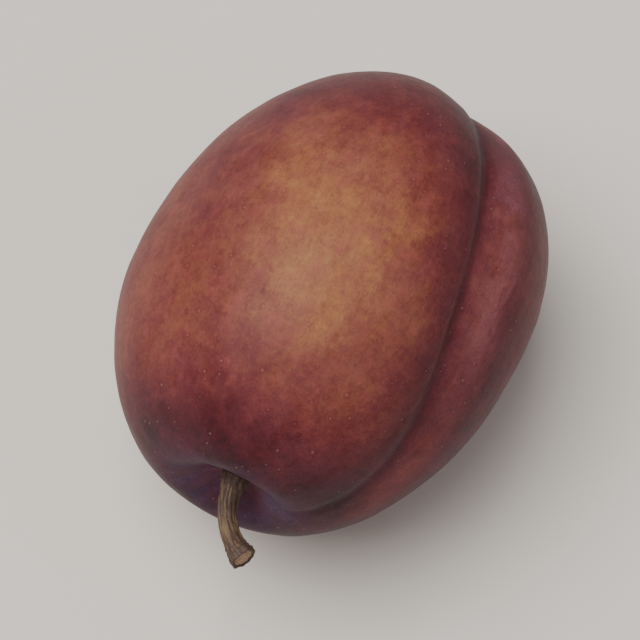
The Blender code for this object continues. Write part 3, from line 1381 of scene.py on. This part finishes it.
@dataclass
class Stalk:
    """The short woody stalk: a ribbed, bent stem with a flared foot and a torn tip.

    Each ridge near the tip has its place as a share of the length and its height as a share of the
    radius. Each ring of the mouth has its share of the radius and how far it stands past the tip.
    """

    length: float = 0.0080
    radius: float = 0.00085
    bend: float = math.radians(62)
    bend_side: float = math.radians(36)
    foot_flare: float = 0.50
    foot_reach: float = 0.16
    tip_flare: float = 0.38
    tip_reach: float = 0.14
    solid_gap: float = 0.0003
    sunk: float = 0.0009
    sides: int = 64
    rings: int = 110
    rib_height: float = 0.045
    rib_count: int = 5
    rib_sway: float = 0.8
    rib_sway_rate: float = 7.0
    small_rib_share: float = 0.5
    small_rib_count: int = 9
    small_rib_lean: float = 2.0
    small_rib_phase: float = 1.9
    ridges: tuple[tuple[float, float], ...] = ((0.84, 0.07), (0.89, 0.06), (0.945, 0.08))
    ridge_width: float = 0.012
    knob_height: float = 0.05
    knob_size: float = 0.5
    mouth: tuple[tuple[float, float], ...] = (
        (0.97, 0.00006),
        (0.90, 0.00008),
        (0.82, 0.00002),
        (0.76, -0.00012),
    )
    face_rings: int = 10
    face_rim: float = 0.84
    face_middle: float = 0.12
    face_crown: float = 0.00010
    face_sunk: float = 0.00008
    face_skirt: float = 0.0004
    face_bump_height: float = 0.00007
    face_bump_size: float = 0.35
    bark: BarkFinish = field(default_factory=BarkFinish)
    end: CorkFinish = field(
        default_factory=lambda: CorkFinish("stalk end", srgb(184, 154, 124), srgb(112, 80, 56), 0.22, 0.22)
    )

    def arc(self, start: float, share: FloatArray) -> tuple[FloatArray, FloatArray, FloatArray]:
        """Returns the stem's middle line.

        Args:
            start: Height along the axis, in metres, where the solid's foot is.
            share: Share of the length, below 0 inside the fruit.

        Returns:
            Points, and the directions along the stem and across it in the plane of the bend.
        """
        reach = self.length / self.bend
        angle = self.bend * np.maximum(share, 0.0)
        aside = np.array([math.sin(self.bend_side), 0.0, math.cos(self.bend_side)])
        down = np.array([0.0, -1.0, 0.0])
        inside = self.length * np.minimum(share, 0.0)
        points = aside * (reach * (1.0 - np.cos(angle)))[:, None]
        points = points + down * (reach * np.sin(angle) + inside)[:, None]
        points[:, 1] += start
        along = down * np.cos(angle)[:, None] + aside * np.sin(angle)[:, None]
        across = aside * np.cos(angle)[:, None] - down * np.sin(angle)[:, None]
        return points, along, across

    def girth(self, share: FloatArray, turn: FloatArray) -> FloatArray:
        """Works out how thick the stem is.

        Args:
            share: Share of the length.
            turn: Angle round the stem.

        Returns:
            The radius in metres.
        """
        rest = np.clip(share, 0.0, 1.0)
        girth = 1.0 + self.foot_flare * bell(rest, self.foot_reach)
        girth = girth + self.tip_flare * bell(1.0 - rest, self.tip_reach)
        for place, height in self.ridges:
            girth = girth + height * bell(rest - place, self.ridge_width)
        ribs = np.cos(self.rib_count * turn + self.rib_sway * np.sin(self.rib_sway_rate * rest))
        small_turn = self.small_rib_count * turn + self.small_rib_lean * rest + self.small_rib_phase
        ribs = ribs + self.small_rib_share * np.cos(small_turn)
        return self.radius * girth * (1.0 + self.rib_height * ribs - self.rib_height)

    def laid(self, start: float, share: FloatArray, radius: FloatArray, advance: FloatArray) -> FloatArray:
        """Returns rings of points laid round the stem's middle line.

        Args:
            start: Height along the axis, in metres, where the solid's foot is.
            share: Each ring's share of the length.
            radius: Each point's distance from the middle line.
            advance: How far each point, or each ring, stands past its ring's middle.

        Returns:
            Points of shape (rings, sides, 3).
        """
        turn = turns(self.sides)
        middle, along, across = self.arc(start, share)
        beside = np.cross(along, across)
        lean = across[:, None] * np.cos(turn)[None, :, None] + beside[:, None] * np.sin(turn)[None, :, None]
        return middle[:, None] + lean * radius[..., None] + along[:, None] * advance[..., None]

    def own_points(self, start: float) -> tuple[FloatArray, FloatArray]:
        """Shapes the stem in the own frame.

        Args:
            start: Height along the axis, in metres, where the solid's foot is.

        Returns:
            The rings and, for the patterns, the same rings with the stem pulled straight.
        """
        body = np.linspace(-(self.solid_gap + self.sunk) / self.length, 1.0, self.rings)
        share = np.concatenate([body, np.ones(len(self.mouth))])
        shrink = np.concatenate([np.ones(self.rings), [factor for factor, _ in self.mouth]])
        push = np.concatenate([np.zeros(self.rings), [advance for _, advance in self.mouth]])
        turn = turns(self.sides)
        radius = self.girth(share[:, None], turn[None, :]) * shrink[:, None]
        straight = round_points(radius, turn, (share * self.length + push)[:, None])
        knobs = rough_noise(straight.reshape(-1, 3), self.knob_size * self.radius).reshape(radius.shape)
        radius = radius * (1.0 + self.knob_height * knobs)
        return self.laid(start, share, radius, push[:, None] * (1.0 + knobs)), straight

    def build(self, pose: RestingPose, cavity_floor: FloatArray) -> list[bpy.types.Object]:
        """Builds the stem and its torn end.

        Args:
            pose: The settled resting pose.
            cavity_floor: Middle of the cavity's floor in the own frame.

        Returns:
            The two pieces.
        """
        start = cavity_floor[1] - self.solid_gap
        rings, straight = self.own_points(start)
        stem = skinned_mesh("plum_stalk", pose.placed(rings), straight)
        stem_piece = new_piece(stem, self.bark.material(self.length))
        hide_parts("stalk")
        return [stem_piece, self._torn_end(pose, start)]

    def _torn_end(self, pose: RestingPose, start: float) -> bpy.types.Object:
        """Builds the pale, uneven face where the stalk came off the twig.

        Args:
            pose: The settled resting pose.
            start: Height along the axis, in metres, where the solid's foot is.

        Returns:
            The face's piece.
        """
        tip = np.array([1.0])
        turn = turns(self.sides)
        out = np.linspace(1.0, self.face_middle, self.face_rings)[:, None]
        radius = out * (self.girth(tip[:, None], turn[None, :]) * self.face_rim)
        flat = round_points(radius, turn)
        bumps = rough_noise(flat.reshape(-1, 3), self.face_bump_size * self.radius, 3).reshape(radius.shape)
        crown = self.face_crown * (1.0 - out ** 2) - self.face_sunk + self.face_bump_height * bumps * out
        crown[0] = -self.face_skirt
        mesh = skinned_mesh("stalk_end", pose.placed(self.laid(start, tip, radius, crown)), flat)
        return new_piece(mesh, self.end.material())


@dataclass
class TipScar:
    """The small dry scar at the tip, where the flower's style fell off.

    The sizes of the bumps and of the waves of its edge are shares of the radius.
    """

    radius: float = 0.00056
    height: float = 0.00014
    sunk: float = 0.00040
    rings: int = 9
    sides: int = 40
    middle: float = 0.15
    raggedness: float = 0.34
    edge_wave_size: float = 0.9
    rim_height: float = 0.35
    bump_height: float = 0.5
    bump_size: float = 0.3
    finish: CorkFinish = field(
        default_factory=lambda: CorkFinish("tip scar", srgb(128, 86, 66), srgb(54, 32, 28), 0.40, 0.12)
    )

    def build(self, pose: RestingPose, tip: FloatArray) -> bpy.types.Object:
        """Builds the scar on the fruit's tip.

        Args:
            pose: The settled resting pose.
            tip: The fruit's tip in the own frame.

        Returns:
            The scar's piece.
        """
        turn = turns(self.sides)
        out = np.concatenate([[1.0], np.linspace(1.0, self.middle, self.rings)])[:, None]
        circle = round_points(np.ones(self.sides), turn)
        edge = 1.0 + self.raggedness * rough_noise(circle, self.edge_wave_size)
        radius = self.radius * out * edge[None, :]
        rings = round_points(radius, turn)
        bumps = rough_noise(rings.reshape(-1, 3), self.bump_size * self.radius, 3).reshape(radius.shape)
        dome = self.rim_height + (1.0 - self.rim_height) * np.cos(0.5 * np.pi * out)
        crown = self.height * dome * (1.0 + self.bump_height * bumps)
        crown[0] = -self.sunk
        own = rings + np.array([0.0, 1.0, 0.0]) * crown[..., None]
        mesh = skinned_mesh("tip_scar", pose.placed(own + tip), own)
        return new_piece(mesh, self.finish.material())


@dataclass(frozen=True)
class FloorFinish:
    """The pale, matt floor, with wide faint clouds whose size is in millimetres."""

    pale: Colour = srgb(236, 233, 228)
    shade: Colour = srgb(230, 227, 221)
    cloud_size: float = 60.0
    cloud_contrast: float = 2.0
    roughness: Course = (*MOTTLE_ENDS, 0.82, 0.9)

    def material(self) -> bpy.types.Material:
        """Builds the floor's material.

        Returns:
            The material.
        """
        material, graph, shader = new_finish("pale floor")
        place = graph.scaled(graph.node("ShaderNodeTexCoord").outputs["Object"], (1.0 / MM,) * 3)
        cloud = graph.effect(mottle(), vector=place, size=self.cloud_size, contrast=self.cloud_contrast)
        colour = graph.mix(graph.span(cloud, *MOTTLE_ENDS), self.pale, self.shade)
        graph.feed(shader.inputs["Base Color"], colour)
        graph.feed(shader.inputs["Roughness"], graph.span(cloud, *self.roughness))
        return material


@dataclass(frozen=True)
class Lamp:
    """A soft square lamp, placed by the picture: to its right, up in it, and towards the camera.

    Lengths are in metres and the power is in watts.
    """

    name: str
    right: float
    up: float
    toward: float
    side: float
    power: float
    colour: tuple[float, float, float]


@dataclass
class Studio:
    """The floor, the soft lamps and the camera at the photograph's viewing angle."""

    azimuth: float = math.radians(26)
    elevation: float = math.radians(66)
    lens: float = 150.0
    sensor: float = 36.0
    fruit_share: float = 0.86
    floor_radius: float = 3.0
    floor_sides: int = 96
    clip_start: float = 0.01
    world: Colour = srgb(208, 206, 205)
    world_strength: float = 0.36
    lamps: tuple[Lamp, ...] = (
        Lamp("key lamp", -0.24, 0.29, 0.60, 0.60, 6.8, (1.0, 0.955, 0.90)),
        Lamp("fill lamp", 0.50, -0.18, 0.40, 0.60, 0.6, (0.94, 0.96, 1.0)),
    )
    finish: FloorFinish = field(default_factory=FloorFinish)

    def axes(self) -> tuple[Vector, Vector, Vector]:
        """Works out the picture's directions.

        Returns:
            Its right, its up and the way to the camera.
        """
        a, e = self.azimuth, self.elevation
        right = Vector((math.cos(a), math.sin(a), 0.0))
        toward = Vector((math.sin(a) * math.cos(e), -math.cos(a) * math.cos(e), math.sin(e)))
        return right, toward.cross(right), toward

    def build(self, low: Vector, high: Vector) -> None:
        """Builds the studio round a box that holds the object.

        Args:
            low: The box's lowest corner.
            high: The box's highest corner.
        """
        self._floor()
        middle = (low + high) * 0.5
        for lamp in self.lamps:
            self._lamp(lamp, middle)
        self._camera(middle, high.y - low.y)
        self._world()

    def _floor(self) -> None:
        """Makes the floor as a wide flat disc."""
        turn = turns(self.floor_sides)
        rim = np.stack([np.cos(turn), np.sin(turn), np.zeros_like(turn)], axis=-1) * self.floor_radius
        mesh = bpy.data.meshes.new("floor")
        mesh.from_pydata(rim, [], [tuple(range(self.floor_sides))])
        mesh.materials.append(self.finish.material())
        floor = bpy.data.objects.new("floor", mesh)
        bpy.context.scene.collection.objects.link(floor)
        floor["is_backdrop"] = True

    def _lamp(self, lamp: Lamp, aim: Vector) -> None:
        """Makes one lamp that points at the object.

        Args:
            lamp: The lamp's settings.
            aim: Point that it shines at.
        """
        right, up, toward = self.axes()
        light = bpy.data.lights.new(lamp.name, "AREA")
        light.size = lamp.side
        light.energy = lamp.power
        light.color = lamp.colour
        holder = bpy.data.objects.new(lamp.name, light)
        holder.location = aim + right * lamp.right + up * lamp.up + toward * lamp.toward
        holder.rotation_euler = (holder.location - aim).to_track_quat("Z", "Y").to_euler()
        bpy.context.scene.collection.objects.link(holder)

    def _camera(self, aim: Vector, length: float) -> None:
        """Makes the camera, as far off as gives the object its share of the square frame.

        Args:
            aim: Point in the middle of the picture.
            length: The object's length in metres.
        """
        _, _, toward = self.axes()
        camera = bpy.data.cameras.new("camera")
        camera.lens = self.lens
        camera.sensor_width = self.sensor
        camera.clip_start = self.clip_start
        distance = length / self.fruit_share * self.lens / self.sensor
        holder = bpy.data.objects.new("camera", camera)
        holder.location = aim + toward * distance
        holder.rotation_euler = toward.to_track_quat("Z", "Y").to_euler()
        bpy.context.scene.collection.objects.link(holder)
        bpy.context.scene.camera = holder

    def _world(self) -> None:
        """Makes the even pale light all round."""
        world = bpy.data.worlds.new("pale room")
        world.use_nodes = True
        background = world.node_tree.nodes["Background"]
        background.inputs["Color"].default_value = self.world
        background.inputs["Strength"].default_value = self.world_strength
        bpy.context.scene.world = world


def report_piece(piece: bpy.types.Object) -> None:
    """Logs a piece's name, faces and size."""
    size = piece.dimensions / MM
    log.info("%s: %d faces, %.1f x %.1f x %.1f mm", piece.name, len(piece.data.polygons), *size)


def main() -> None:
    """Builds the plum's pieces in order, then the studio."""
    logging.basicConfig(level=logging.INFO, format="%(name)s: %(message)s")
    log.info("frame holds %s", ", ".join(sorted(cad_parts)))
    fruit = Fruit()
    rings = fruit.own_points()
    pose = RestingPose().settled(rings, "fruit")
    cavity_floor, tip = with_ends(rings)[-2:]
    pieces = [fruit.build(rings, pose), *Stalk().build(pose, cavity_floor), TipScar().build(pose, tip)]
    bpy.context.view_layer.update()
    for piece in pieces:
        report_piece(piece)
    Studio().build(*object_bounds())


if __name__ == "__main__":
    main()
